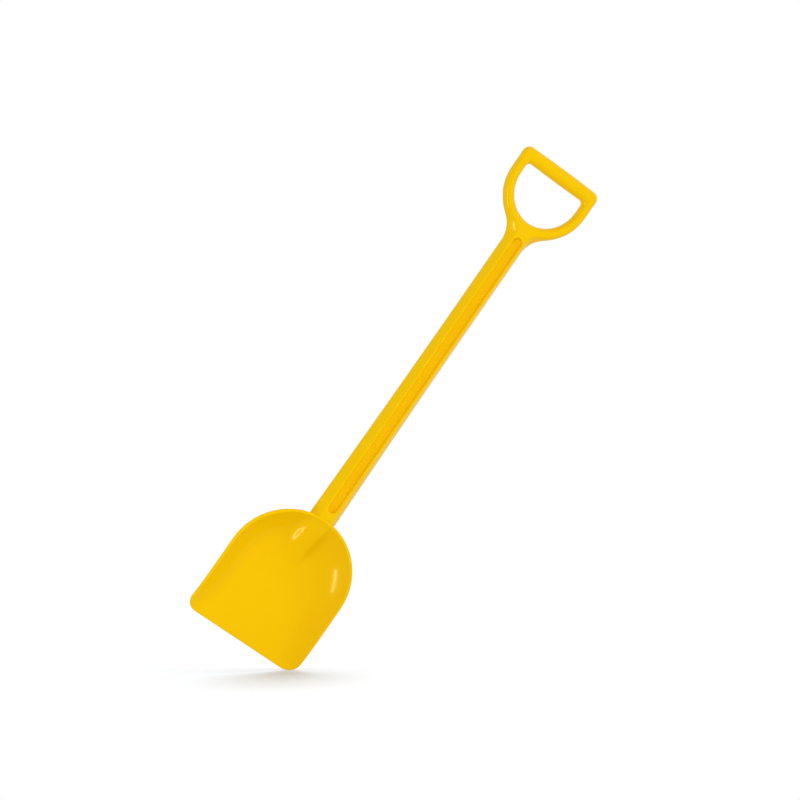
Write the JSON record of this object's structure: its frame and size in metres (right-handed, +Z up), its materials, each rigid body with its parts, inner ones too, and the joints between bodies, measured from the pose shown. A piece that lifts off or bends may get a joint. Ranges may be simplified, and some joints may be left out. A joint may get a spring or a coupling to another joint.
{
  "type": "sand shovel",
  "caption": "Child's long-handled sand shovel in moulded plastic: dished square-ended blade, grooved tapering shaft and D-shaped grip.",
  "frame": {"origin": "middle of the cutting edge, on the middle plane of the shaft: the shovel hangs upright from its grip, with its edge on Z = 0", "axes": "+Z runs up the shaft to the grip, -Y is the front, where the dished side of the blade faces, and X runs across the blade"},
  "size_m": [0.13, 0.0274, 0.55],
  "materials": {
    "yellow_plastic": "smooth moulded plastic with a soft gloss, warm yellow all through"
  },
  "bodies": {
    "root": {"blade": "yellow_plastic", "shaft": "yellow_plastic", "grip": "yellow_plastic"}
  },
  "joints": []
}
